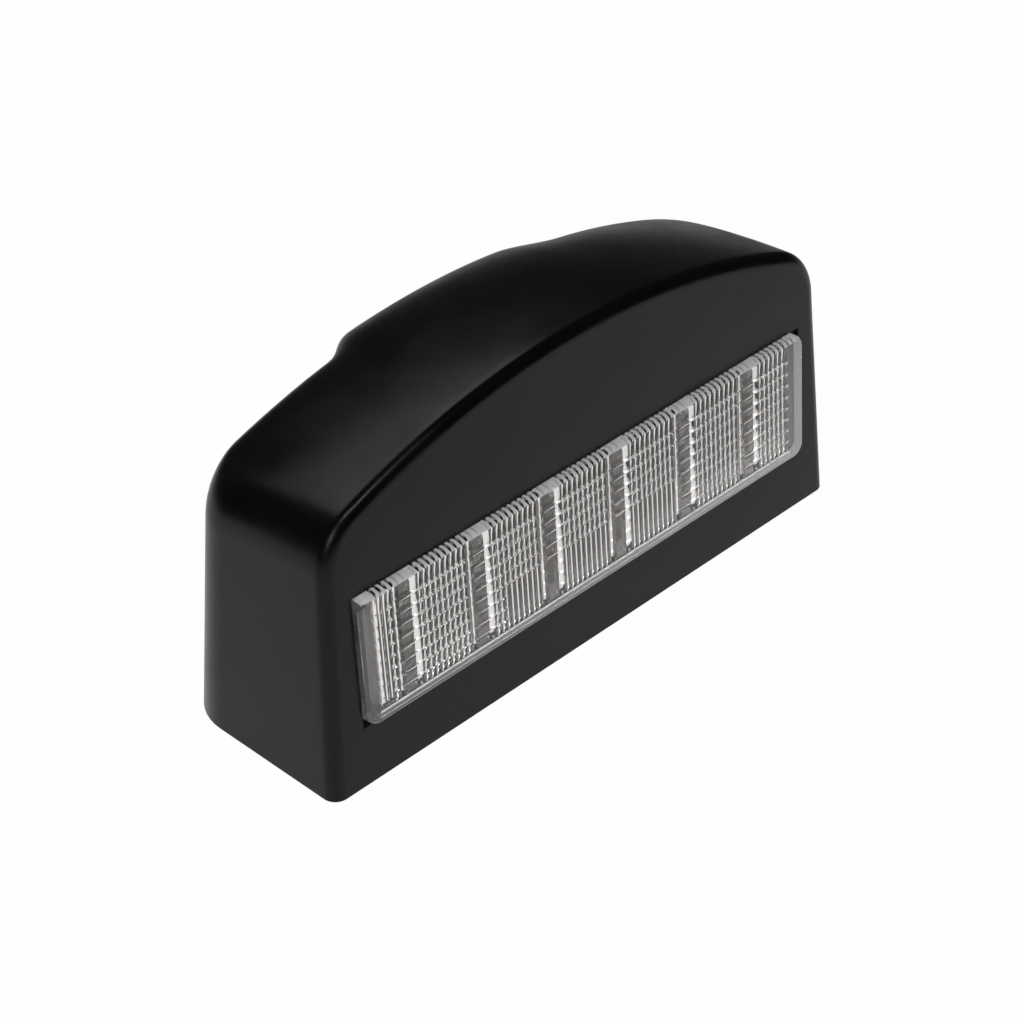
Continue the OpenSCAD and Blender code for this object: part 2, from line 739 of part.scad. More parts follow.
module earth_strip() {
    end = outer_tongue + strip_thick;
    start = outer_tongue - strip_width;
    color("#c8a14e") on_front() difference() {
        union() {
            for (side = [-1, 1]) {
                tongue(side * (outer_tongue + strip_thick / 2));
                strip_patch(side < 0 ? -end : start, side < 0 ? -start : end,
                    axis_height - tongue_width / 2, strip_level + strip_width);
            }
            strip_patch(-trough_length / 2, trough_length / 2, strip_level, strip_level + strip_width);
            strip_patch(tab_left, tab_left + tab_width, axis_height - tab_drop, strip_level + strip_width);
        }
        screw_hole(contact_screw_places[0]);
        screw_hole(contact_screw_places[1]);
    }
}

module contact_screws() {
    head = 1.7;
    head_thick = 1;
    seat = pad_back + strip_thick + 2 * skim;
    color("#b9bcc0") on_front() for (p = contact_screw_places)
        translate([p[0], seat, p[1]]) rotate([-90, 0, 0]) difference() {
            union() {
                cylinder(h = head_thick, r = head);
                translate([0, 0, -contact_screw_length])
                    cylinder(h = contact_screw_length, r = contact_screw_radius);
            }
            translate([-head, -0.2, head_thick / 2]) cube([2 * head, 0.4, head_thick]);
        }
}

// The bulbs, each turned so that its own axis is Z, with its middle at the origin

module bulb_glass() {
    neck = cap_radius - cap_skin - touch;
    half = bulb_length / 2 - cap_length + cap_overlap;
    neck_end = half - cap_overlap - hole_play;
    shoulder = neck_end - (glass_radius - neck);
    color([0.95, 0.95, 0.95, 0.4]) rotate_extrude()
        polygon([[neck, -half], [neck, -neck_end], [glass_radius, -shoulder], [glass_radius, shoulder],
            [neck, neck_end], [neck, half], [neck - glass_wall, half], [neck - glass_wall, neck_end],
            [glass_radius - glass_wall, shoulder], [glass_radius - glass_wall, -shoulder],
            [neck - glass_wall, -neck_end], [neck - glass_wall, -half]]);
}

// A thin metal cup over the end of the glass, with a pointed tip
module bulb_cap() {
    rim = bulb_length / 2 - cap_length;
    cone = bulb_length / 2 - cone_length;
    color("#c9ccd0") rotate_extrude()
        polygon([[cap_radius, rim], [cap_radius, cone], [tip_radius, bulb_length / 2], [0, bulb_length / 2],
            [0, solder_level], [tip_radius, solder_level], [cap_radius - cap_skin, cone - cap_skin],
            [cap_radius - cap_skin, rim]]);
}

// The filament, held by a lead wire from each cap
module bulb_filament() {
    coil = 0.5;
    coil_half = 5;
    wire = 0.2;
    lead_end = solder_level - touch;
    color("#8f9094") {
        translate([0, 0, -coil_half]) cylinder(h = 2 * coil_half, r = coil);
        for (turn = [0, 180]) rotate([turn, 0, 0])
            translate([0, 0, coil_half - coil]) cylinder(h = lead_end - coil_half + coil, r = wire);
    }
}

// Puts a bulb's pieces between their tongues, its tip to the right
module at_bulb(side) {
    on_front() translate([side * bulb_middle, bulb_axis, axis_height]) rotate([0, 90, 0]) children();
}

module left_bulb_glass() at_bulb(-1) bulb_glass();
module right_bulb_glass() at_bulb(1) bulb_glass();
module left_bulb_outer_cap() at_bulb(-1) rotate([180, 0, 0]) bulb_cap();
module left_bulb_inner_cap() at_bulb(-1) bulb_cap();
module right_bulb_inner_cap() at_bulb(1) rotate([180, 0, 0]) bulb_cap();
module right_bulb_outer_cap() at_bulb(1) bulb_cap();
module left_bulb_filament() at_bulb(-1) bulb_filament();
module right_bulb_filament() at_bulb(1) bulb_filament();

housing();
lens();
lens_seal();
base_plate();
base_seal();
reflector();
left_bulb_glass();
right_bulb_glass();
left_bulb_outer_cap();
left_bulb_inner_cap();
right_bulb_inner_cap();
right_bulb_outer_cap();
left_bulb_filament();
right_bulb_filament();
feed_strip();
earth_strip();
contact_screws();
cable_grommet();
base_screws();
left_insert();
right_insert();
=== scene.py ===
# %% [markdown]
# # Number plate lamp
#
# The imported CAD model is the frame. Its cover and its lens are replaced by finer surfaces, made with
# numpy from the same measures as the CAD source, and every other node keeps its shape and gets a
# material. Lengths in the code are millimetres until a mesh is made. X runs along the lamp, the lens
# faces -Y and Z is up.

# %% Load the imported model
import math

import bmesh
import bpy
import numpy as np
from mathutils import Matrix, Vector


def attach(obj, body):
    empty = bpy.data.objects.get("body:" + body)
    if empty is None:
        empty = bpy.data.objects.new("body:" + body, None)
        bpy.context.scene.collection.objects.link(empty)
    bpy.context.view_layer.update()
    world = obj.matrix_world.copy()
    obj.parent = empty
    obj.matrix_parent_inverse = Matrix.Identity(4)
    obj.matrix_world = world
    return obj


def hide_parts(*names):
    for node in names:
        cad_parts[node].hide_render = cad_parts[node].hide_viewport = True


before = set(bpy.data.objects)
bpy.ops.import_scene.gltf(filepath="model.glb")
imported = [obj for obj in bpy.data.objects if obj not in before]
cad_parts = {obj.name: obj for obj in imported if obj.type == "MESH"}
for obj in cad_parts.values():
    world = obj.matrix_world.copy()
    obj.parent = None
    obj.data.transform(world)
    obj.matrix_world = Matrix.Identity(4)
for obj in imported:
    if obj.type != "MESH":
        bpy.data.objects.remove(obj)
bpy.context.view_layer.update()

MM = 0.001

# %% [markdown]
# ## Measures
#
# They repeat the values of the CAD source, in millimetres and degrees.

# %% Measures
COVER_LENGTH, COVER_DEPTH, COVER_HEIGHT, WALL = 105.0, 33.6, 53.2, 2.2
DRAFT = math.radians(3.4)
WINDOW_WIDTH, WINDOW_HEIGHT, WINDOW_BOTTOM = 92.0, 21.9, 9.7
SHOULDER_ROOM, SHOULDER_RADIUS = 9.7, 10.0
ARCH_RISE = COVER_HEIGHT - WINDOW_BOTTOM - WINDOW_HEIGHT - SHOULDER_ROOM
ARCH_RADIUS = ((COVER_LENGTH / 2) ** 2 + ARCH_RISE ** 2) / (2 * ARCH_RISE)
FRONT_EDGE, REAR_CORNER = 2.2, 9.5
TOP_FALL, CROWN_DROP, CROWN_LENGTH = 2.4, 4.0, 31.0
BULGE_WIDTH, BULGE_FLANK, BULGE_DEPTH, BULGE_DROP = 37.2, 8.6, 5.0, 3.1
LENS_GAP, LENS_PROUD, LENS_CORNER, LENS_EDGE, LENS_PLATE = 0.2, 1.3, 2.2, 0.8, 1.5
END_MARGIN, LOW_MARGIN, TOP_MARGIN = 2.7, 1.7, 1.7
FLANGE_WIDTH, FLANGE_THICK, SEAL_THICK, TOUCH = 1.8, 1.6, 1.0, 0.05
LENS_WIDTH = WINDOW_WIDTH - 2 * LENS_GAP
LENS_HEIGHT = WINDOW_HEIGHT - 2 * LENS_GAP
LENS_BOTTOM = WINDOW_BOTTOM + LENS_GAP
PLATE_BACK = LENS_PLATE - LENS_PROUD
FLANGE_FRONT = WALL + SEAL_THICK + TOUCH
FLANGE_BACK = FLANGE_FRONT + FLANGE_THICK
OPTICS_WIDTH = LENS_WIDTH - 2 * END_MARGIN
OPTICS_BOTTOM = LENS_BOTTOM + LOW_MARGIN
OPTICS_HEIGHT = LENS_HEIGHT - LOW_MARGIN - TOP_MARGIN

# %% [markdown]
# ## Camera
#
# The camera stands front left and above, at the photo's viewing angle. Its place and its long focal
# length come from a fit of the cover's outline to the photo, and it is rolled by less than a degree.

# %% Camera
CAMERA_PLACE = Vector((-265.264, -265.126, 290.185))
CAMERA_AIM = Vector((0.56912, 0.56971, -0.59290)).normalized()
CAMERA_ROLL = math.radians(-0.79)
CAMERA_LENS = 110.65

right = CAMERA_AIM.cross(Vector((0, 0, 1))).normalized()
above = right.cross(CAMERA_AIM)
turned_right = math.cos(CAMERA_ROLL) * right + math.sin(CAMERA_ROLL) * above
turned_above = -math.sin(CAMERA_ROLL) * right + math.cos(CAMERA_ROLL) * above

camera_data = bpy.data.cameras.new("camera")
camera_data.lens = CAMERA_LENS
camera_data.sensor_width = 36
camera_data.clip_start = 0.01
camera = bpy.data.objects.new("camera", camera_data)
camera.matrix_world = Matrix.Translation(CAMERA_PLACE * MM) @ Matrix(
    (turned_right, turned_above, -CAMERA_AIM)).transposed().to_4x4()
bpy.context.collection.objects.link(camera)
bpy.context.scene.camera = camera
print("camera at", [round(v, 3) for v in camera.location])

# %% [markdown]
# ## Material helpers
#
# Colours are written as sRGB hex values and turned linear by one function. A node is added by one small
# function that sets its plain values. All patterns are measured in millimetres of the object, through
# Object coordinates.

# %% Material helpers
def linear(hex_colour):
    """sRGB hex to linear RGBA: c / 12.92 below 0.04045, else ((c + 0.055) / 1.055) ** 2.4."""
    c = np.array([int(hex_colour[i:i + 2], 16) for i in (1, 3, 5)]) / 255
    return (*np.where(c <= 0.04045, c / 12.92, ((c + 0.055) / 1.055) ** 2.4), 1.0)


def add(tree, kind, inputs=None, **settings):
    """Add one node; inputs are values or (node, socket) links, settings are its own properties."""
    node = tree.nodes.new(kind)
    for name, value in settings.items():
        setattr(node, name, value)
    for name, value in (inputs or {}).items():
        if isinstance(value, tuple) and isinstance(value[0], bpy.types.Node):
            tree.links.new(value[0].outputs[value[1]], node.inputs[name])
        else:
            node.inputs[name].default_value = value
    return node


def material(name):
    """A new material with an empty node tree and its output node."""
    made = bpy.data.materials.new(name)
    made.use_nodes = True
    made.node_tree.nodes.clear()
    return made, made.node_tree, made.node_tree.nodes.new("ShaderNodeOutputMaterial")


def millimetres(tree):
    """Object coordinates in millimetres."""
    place = add(tree, "ShaderNodeTexCoord")
    return add(tree, "ShaderNodeVectorMath", {0: (place, "Object"), "Scale": 1000.0}, operation="SCALE")


def map_range(tree, source, from_low, from_high, low, high):
    """Map a value between two limits to a range."""
    return add(tree, "ShaderNodeMapRange", {
        "Value": source, "From Min": from_low, "From Max": from_high, "To Min": low, "To Max": high})


def ramp(tree, noise, low, high):
    """Map 0..1 noise to a range around the middle of its spread."""
    return map_range(tree, (noise, "Fac"), 0.3, 0.7, low, high)


def math_node(tree, operation, *values, clamp=False):
    """A math node on two or three values or (node, socket) links."""
    return add(tree, "ShaderNodeMath", dict(enumerate(values)), operation=operation, use_clamp=clamp)


# Slow changes: their size as a frequency per millimetre, the change of roughness, and the share of tone
SLOW_SCALE, GLOSS_SPREAD, TONE_SPREAD = 0.09, 0.06, 0.12


def grained(name, hex_colour, rough, grain, grain_size, metal=0.0, specular=0.5):
    """Opaque stuff with a fine grain in its surface, and slow changes of gloss and tone.

    grain is the grain's height in millimetres and grain_size its width.
    """
    made, tree, out = material(name)
    place = millimetres(tree)
    slow = add(tree, "ShaderNodeTexNoise", {
        "Vector": (place, "Vector"), "Scale": SLOW_SCALE, "Detail": 3.0})
    fine = add(tree, "ShaderNodeTexNoise", {
        "Vector": (place, "Vector"), "Scale": 1 / grain_size, "Detail": 2.0})
    colour = np.array(linear(hex_colour))
    darker = (*(colour[:3] * (1 - TONE_SPREAD)), 1.0)
    lighter = (*(colour[:3] * (1 + TONE_SPREAD)), 1.0)
    gloss = ramp(tree, slow, rough - GLOSS_SPREAD, rough + GLOSS_SPREAD)
    tone = add(tree, "ShaderNodeMix", {0: (ramp(tree, slow, 0, 1), "Result"), 6: darker, 7: lighter},
               data_type="RGBA")
    bump = add(tree, "ShaderNodeBump", {"Height": (fine, "Fac"), "Strength": 1.0, "Distance": grain * MM})
    skin = add(tree, "ShaderNodeBsdfPrincipled", {
        "Base Color": (tone, 2), "Roughness": (gloss, "Result"), "Metallic": metal,
        "Specular IOR Level": specular, "Normal": (bump, "Normal")})
    tree.links.new(skin.outputs[0], out.inputs[0])
    return made


def clear(name, hex_colour, rough, ior):
    """Clear stuff that refracts, and lets the lamps' light through to what is behind it."""
    made, tree, out = material(name)
    glass = add(tree, "ShaderNodeBsdfPrincipled", {
        "Base Color": linear(hex_colour), "Roughness": rough, "IOR": ior, "Transmission Weight": 1.0})
    through = add(tree, "ShaderNodeBsdfTransparent", {"Color": linear(hex_colour)})
    path = add(tree, "ShaderNodeLightPath")
    mix = add(tree, "ShaderNodeMixShader", {0: (path, "Is Shadow Ray"), 1: (glass, 0), 2: (through, 0)})
    tree.links.new(mix.outputs[0], out.inputs[0])
    return made


# %% [markdown]
# ## Materials
#
# One material for each kind of stuff and the way it was made.

# %% Materials
# Injection-moulded ABS from a lightly eroded mould: satin, with a fine grain
COVER_PLASTIC = grained("moulded_black_abs", "#0a0a0a", 0.27, grain=0.009, grain_size=0.25, specular=0.25)
# Unpainted moulded plastic, matt, with a coarser grain
BASE_PLASTIC = grained("moulded_black_base", "#131314", 0.55, grain=0.01, grain_size=0.4)
# Moulded grey ABS of the reflector
REFLECTOR_PLASTIC = grained("moulded_grey_reflector", "#7a7876", 0.4, grain=0.004, grain_size=0.5)
# Polymethyl methacrylate from a polished mould
LENS_PLASTIC = clear("clear_moulded_acrylic", "#e9e7e5", 0.015, 1.49)
# Drawn soda glass
BULB_GLASS = clear("drawn_bulb_glass", "#fbfbfb", 0.0, 1.52)
# Nickel-plated pressed caps
CAP_METAL = grained("nickel_plated_cap", "#c4c2bd", 0.22, grain=0.002, grain_size=0.6, metal=1.0)
# Drawn tungsten and nickel wire
WIRE_METAL = grained("drawn_tungsten_wire", "#6f6e70", 0.35, grain=0.002, grain_size=0.1, metal=1.0)
# Rolled and pressed brass
STRIP_BRASS = grained("rolled_brass_strip", "#c9a45a", 0.28, grain=0.003, grain_size=0.5, metal=1.0)
# Turned brass of the inserts
INSERT_BRASS = grained("turned_brass_insert", "#b98f45", 0.3, grain=0.003, grain_size=0.2, metal=1.0)
# Zinc-plated steel of the screws
SCREW_STEEL = grained("zinc_plated_screw", "#b9bcc2", 0.3, grain=0.003, grain_size=0.3, metal=1.0)
# Moulded rubber of the seals and the grommet
SEAL_RUBBER = grained("moulded_seal_rubber", "#101010", 0.7, grain=0.008, grain_size=0.4)

NODE_MATERIALS = {
    "housing": COVER_PLASTIC, "lens": LENS_PLASTIC, "lens_seal": SEAL_RUBBER, "base_plate": BASE_PLASTIC,
    "base_seal": SEAL_RUBBER, "reflector": REFLECTOR_PLASTIC, "left_bulb_glass": BULB_GLASS,
    "right_bulb_glass": BULB_GLASS, "left_bulb_outer_cap": CAP_METAL, "left_bulb_inner_cap": CAP_METAL,
    "right_bulb_inner_cap": CAP_METAL, "right_bulb_outer_cap": CAP_METAL, "left_bulb_filament": WIRE_METAL,
    "right_bulb_filament": WIRE_METAL, "feed_strip": STRIP_BRASS, "earth_strip": STRIP_BRASS,
    "contact_screws": SCREW_STEEL, "cable_grommet": SEAL_RUBBER, "base_screws": SCREW_STEEL,
    "left_insert": INSERT_BRASS, "right_insert": INSERT_BRASS}
for name, stuff in NODE_MATERIALS.items():
    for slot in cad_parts[name].material_slots:
        slot.material = stuff
print("materials on", len(NODE_MATERIALS), "nodes")

# %% [markdown]
# ## Mesh helpers
#
# A skin is a grid of points, rows by columns, closed round its columns. Its first and last rows are
# closed by flat faces.

# %% Mesh helpers
def new_object(name, mesh):
    """Link a new object with this mesh, at the origin."""
    made = bpy.data.objects.new(name, mesh)
    bpy.context.collection.objects.link(made)
    return made


def grid_faces(rows, columns, closed):
    """Quads of a grid of rows by columns points, numbered row by row."""
    i, j = np.meshgrid(np.arange(rows - 1), np.arange(columns if closed else columns - 1), indexing="ij")
    k = (j + 1) % columns
    first, second = i * columns, (i + 1) * columns
    return np.stack([first + j, first + k, second + k, second + j], -1).reshape(-1, 4)


def skin_mesh(name, grid):
    """Mesh of a closed skin; grid is rows x columns x 3 in millimetres."""
    rows, columns = grid.shape[:2]
    faces = grid_faces(rows, columns, True).tolist()
    faces += [list(range(columns))[::-1], list(range((rows - 1) * columns, rows * columns))]
    mesh = bpy.data.meshes.new(name)
    mesh.from_pydata((grid.reshape(-1, 3) * MM).tolist(), [], faces)
    face_outwards(mesh)
    return mesh


def face_outwards(mesh):
    """Turn every face's normal outwards."""
    shape = bmesh.new()
    shape.from_mesh(mesh)
    bmesh.ops.recalc_face_normals(shape, faces=shape.faces)
    shape.to_mesh(mesh)
    shape.free()


def shade(mesh, sharp_degrees):
    """Smooth shading, with edges over this angle kept sharp."""
    mesh.polygons.foreach_set("use_smooth", np.ones(len(mesh.polygons), bool))
    mesh.set_sharp_from_angle(angle=math.radians(sharp_degrees))


def combined(name, first, steps):
    """Join or cut solids in turn; steps is a list of (operation, mesh)."""
    base = new_object(name, first)
    tools = []
    for operation, mesh in steps:
        tool = new_object(name + "_tool", mesh)
        tools.append(tool)
        modifier = base.modifiers.new(operation, "BOOLEAN")
        modifier.operation, modifier.solver, modifier.object = operation, "EXACT", tool
    bpy.context.view_layer.update()
    result = bpy.data.meshes.new_from_object(base.evaluated_get(bpy.context.evaluated_depsgraph_get()))
    result.name = name
    for used in tools + [base]:
        bpy.data.objects.remove(used)
    return result


def on_front(x, y, z):
    """From the tilted frame of the front face to the lamp's frame: a turn by -DRAFT about X, and a shift.

    y' = y cos(draft) + z sin(draft) - depth / 2, z' = z cos(draft) - y sin(draft).
    """
    turned_y = y * math.cos(DRAFT) + z * math.sin(DRAFT) - COVER_DEPTH / 2
    turned_z = z * math.cos(DRAFT) - y * math.sin(DRAFT)
    return np.stack(np.broadcast_arrays(x, turned_y, turned_z), -1)


# %% [markdown]
# ## Cover
#
# Each cross-section is a side wall that leans in by the draft, a shoulder arc and the wide arc of the
# top, each tangent to the next. The sections are laid from front to back; at the front they pull in along
# a small fillet, at the back along the upright corners, while the top falls along a quarter ellipse.

# %% Cover
# Points along the shoulder, a quarter round and the plain part of the depth
SHOULDER_STEPS, QUARTER_POINTS, PLAIN_POINTS = 18, 13, 22
# The inner skin keeps at least these radii at its front edge and its shoulder
LEAST_EDGE, LEAST_SHOULDER = 0.4, 1
# Edges over this angle stay sharp
COVER_SHARP = 28
# Places across the arch as shares of its half width, closest together at the bulge's flanks
ARCH_SHARES = np.hstack([
    np.linspace(1, 0.85, 6)[1:], np.linspace(0.85, 0.2, 60)[1:], np.linspace(0.2, 0, 6)[1:]])


def section(half_width, height, arch, shoulder, foot):
    """Whole section as x and z for each station.

    The shoulder's centre lies on the ray at angle turn from the arch's centre, at distance arch - shoulder:
    cos(turn - draft) = (half_width cos(draft) - shoulder - (height - arch) sin(draft)) / (arch - shoulder).
    """
    half_width, height, arch, shoulder = (
        np.asarray(v, float)[:, None] for v in (half_width, height, arch, shoulder))
    middle = height - arch
    reach = (half_width * math.cos(DRAFT) - shoulder - middle * math.sin(DRAFT)) / (arch - shoulder)
    turn = DRAFT + np.arccos(reach)
    a = DRAFT + (turn - DRAFT) * np.linspace(0, 1, SHOULDER_STEPS + 1)
    across = (arch * np.cos(turn)) * ARCH_SHARES
    x = np.hstack([half_width - foot * math.tan(DRAFT),
                   (arch - shoulder) * np.cos(turn) + shoulder * np.cos(a), across])
    z = np.hstack([np.full_like(half_width, foot),
                   middle + (arch - shoulder) * np.sin(turn) + shoulder * np.sin(a),
                   middle + np.sqrt(arch ** 2 - across ** 2)])
    return np.hstack([x, -x[:, -2::-1]]), np.hstack([z, z[:, -2::-1]])


def pull_in(left, radius):
    """How far a quarter round pulls in, at a distance before its end: r (1 - sqrt(1 - (1 - left / r)^2))."""
    u = np.clip(1 - left / radius, 0, 1)
    return radius * (1 - np.sqrt(1 - u * u))


def bulge_share(x, inset):
    """Share of the bulge's depth: 1 - u^2 (3 - 2 u) over each flank, where u runs from 0 to 1."""
    start = (BULGE_WIDTH - BULGE_FLANK) / 2 - inset * math.tan(math.atan(1.5 * BULGE_DEPTH / BULGE_FLANK) / 2)
    u = np.clip((np.abs(x) - start) / BULGE_FLANK, 0, 1)
    return 1 - u * u * (3 - 2 * u)


def cover_grid(inset, foot):
    """Rows of the cover's skin, moved in by inset, and its back at the foot.

    The bulge pushes each point back by its share of the depth, growing evenly over the crown's length, and
    lowers the top by its share of the drop.
    """
    depth, edge = COVER_DEPTH - 2 * inset, max(FRONT_EDGE - inset, LEAST_EDGE)
    corner, crown_length = REAR_CORNER - inset, CROWN_LENGTH - inset
    quarter = np.linspace(0, math.pi / 2, QUARTER_POINTS)
    t = np.hstack([edge * (1 - np.cos(quarter)), np.linspace(edge, depth - corner, PLAIN_POINTS)[1:],
                   depth - corner + corner * np.sin(quarter[1:])])
    front = pull_in(t, edge)
    side = front + pull_in(depth - t, corner)
    along = np.clip(1 - (depth - t) / crown_length, 0, 1)
    crown = 1 - np.sqrt(1 - along ** 2)
    fall = TOP_FALL * (t + inset) / COVER_DEPTH
    drop = front + crown * CROWN_DROP
    shoulder = np.maximum(SHOULDER_RADIUS - inset - (side + drop) / 2, LEAST_SHOULDER)
    x, z = section(COVER_LENGTH / 2 - inset - side, COVER_HEIGHT - inset - fall - drop,
                   ARCH_RADIUS - inset - drop, shoulder, foot)
    share = bulge_share(x, inset)
    z = z - BULGE_DROP * share * crown[:, None]
    y = (2 * t[:, None] / depth - 1) * (depth / 2 - z * math.tan(DRAFT))
    y = y + BULGE_DEPTH * share * along[:, None]
    first = SHOULDER_STEPS + 1
    low_x = x[-1, first:-first]
    low_y = COVER_DEPTH / 2 - inset - foot * math.tan(DRAFT) + BULGE_DEPTH * bulge_share(low_x, inset)
    return np.stack([x, y, z], -1), np.stack([low_x, low_y, np.full_like(low_x, foot)], -1)


def cover_skin(name, inset, foot):
    """Closed mesh: the rows, a flat front, an upright back below the last row, its two ends, and the foot."""
    grid, low = cover_grid(inset, foot)
    rows, columns = grid.shape[:2]
    last, below, first = (rows - 1) * columns, rows * columns, SHOULDER_STEPS + 1
    middle = below + len(low)
    faces = grid_faces(rows, columns, False).tolist()
    k = np.arange(len(low) - 1)
    faces += np.stack([last + first + k, last + first + k + 1, below + k + 1, below + k], -1).tolist()
    faces.append(list(range(columns))[::-1])
    faces.append(list(range(last, last + first + 1)) + [below])
    faces.append(list(range(last + columns - 1 - first, last + columns)) + [middle - 1])
    outline = np.hstack([np.arange(rows) * columns, np.arange(below, middle),
                         np.arange(rows)[::-1] * columns + columns - 1])
    faces += np.stack([outline, np.roll(outline, -1), np.full_like(outline, middle)], -1).tolist()
    points = np.vstack([grid.reshape(-1, 3), low, [[0, 0, foot]]])
    mesh = bpy.data.meshes.new(name)
    mesh.from_pydata((points * MM).tolist(), [], faces)
    face_outwards(mesh)
    return mesh


def slab_grid(half_width, low, high, front, back):
    """A box in the tilted frame of the front face, as a skin of two rows."""
    x = np.array([half_width, half_width, -half_width, -half_width])
    z = np.array([low, high, high, low])
    return on_front(x[None], np.array([[front], [back]]), z[None])


window = skin_mesh("window", slab_grid(
    WINDOW_WIDTH / 2, WINDOW_BOTTOM, WINDOW_BOTTOM + WINDOW_HEIGHT, -1, WALL + 1))
cover_mesh = combined("cover", cover_skin("outer", 0, 0), [
    ("DIFFERENCE", cover_skin("inner", WALL, -1)), ("DIFFERENCE", window)])
shade(cover_mesh, COVER_SHARP)
cover = new_object("cover", cover_mesh)
cover.data.materials.clear()
cover.data.materials.append(COVER_PLASTIC)
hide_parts("housing")
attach(cover, "root")
print("cover:", len(cover_mesh.polygons), "faces")

# %% [markdown]
# ## Lens
#
# The lens is a clear tray. Its outside is smooth, with a rounded front edge and a flange behind the
# window. Inside, its front plate carries the optics: blocks of small upright reeds between pairs of deep
# ribs, a main rib with a sloping top and a wedge-shaped one. Reed tops rise 22 degrees to a crest and
# drop at 68, so that light from the front left is turned straight back out. Grooves across the reeds do
# the same for light from above.

# %% Optics
BANDS, BAND_PITCH, BAND_SHIFT, WEDGE_OFFSET = 6, 14.15, 0.1, 3.25
FIRST_REED, REEDS, REED_PITCH = 1.55, 9, 1.03
REED_WIDTH, REED_LIP, REED_DEPTH, REED_PAD = 0.72, 0.2, 0.8, 0.3
WEDGE_WIDTH, WEDGE_DEPTH, WEDGE_RIDGE, WEDGE_LIP, RIB_WIDTH, RIB_DEPTH = 1.3, 1.4, 0.2, 0.22, 0.95, 1.6
RIB_NOTCH, RIB_TAPER, RIB_END = 0.25, 0.5, 0.3
LEAN, LEAN_START, LEAN_END = 0.5, OPTICS_HEIGHT - 0.3, OPTICS_HEIGHT + 0.6
CREST_SLOPE, CREST_FLANK = math.tan(math.radians(22)), math.tan(math.radians(68))
ROW_PITCH, LOW_ROW, GROOVE_DEPTH, ROW_LIP = 2.0, 1.3, 0.28, 0.28
FOOT_START, FOOT_LINES, FOOT_LIPS = -0.05, (-0.5, -1.25), (0.3, 0.12)
EDGE_REEDS, EDGE_REED_PITCH = 3, 0.93
PLAIN_HALF, PLAIN_ROWS = 1.25 * BAND_PITCH, 4
# Width of a steep step, the least height above the plate, and small gaps beside a reed and a groove
STEEP, LEAST, REED_GAP, GROOVE_GAP = 0.004, 0.02, 0.05, 0.02

ROWS = 1 + int((OPTICS_HEIGHT - LOW_ROW) // ROW_PITCH)
REED_PEAK = REED_DEPTH + REED_LIP * CREST_SLOPE
REED_FLANK = (REED_PEAK - REED_PAD) / CREST_FLANK
RIB_SIDE = (RIB_DEPTH - REED_PAD) / CREST_FLANK
bands = (np.arange(BANDS) - (BANDS - 1) / 2) * BAND_PITCH + BAND_SHIFT
reeds = (bands[:, None] + FIRST_REED + np.arange(REEDS) * REED_PITCH).ravel()
reeds = np.hstack([bands[0] - WEDGE_OFFSET - WEDGE_WIDTH / 2 - REED_FLANK - REED_GAP, reeds])
reeds = reeds[reeds < OPTICS_WIDTH / 2 - REED_FLANK]
edge_reeds = reeds[0] - EDGE_REED_PITCH * np.arange(1, EDGE_REEDS + 1)


def crest(x, places, width, lip, depth):
    """Height of ribs with their crests at the places.

    Going left from a crest the rib falls by CREST_SLOPE over its lip, is flat, and ends at its width; going
    right it falls by CREST_FLANK.
    """
    d = x[:, None] - places[None]
    left = depth + np.clip(lip + d, 0, None) * CREST_SLOPE
    right = depth + lip * CREST_SLOPE - d * CREST_FLANK
    return np.clip(np.where(d > 0, right, np.where(d >= -width - 1e-9, left, 0)), 0, None).max(1)


def wedge(x):
    """Height of the wedge ribs: a slope up to a lip, the lip up to the ridge, and a steep right side."""
    d = x[:, None] - (bands - WEDGE_OFFSET)[None] - WEDGE_RIDGE
    lip = WEDGE_DEPTH + d * CREST_SLOPE
    foot = WEDGE_WIDTH / 2 + WEDGE_RIDGE
    slope = REED_PAD + (d + foot) * (WEDGE_DEPTH - WEDGE_LIP * CREST_SLOPE - REED_PAD) / (foot - WEDGE_LIP)
    left = np.where(d > -WEDGE_LIP, lip, slope)
    return np.where(d > 0, WEDGE_DEPTH - d * CREST_FLANK, left).clip(0).max(1)


def foot_profile():
    """z and height of the plain strip under the optics: two lips with a steep groove under each."""
    z, height = [FOOT_START], [LEAST]
    for line, lip in zip(FOOT_LINES, FOOT_LIPS):
        rise = lip * CREST_SLOPE
        z += [line + lip, line, line - rise / CREST_FLANK]
        height += [LEAST, LEAST + rise, LEAST]
    return np.array(z[::-1]), np.array(height[::-1])


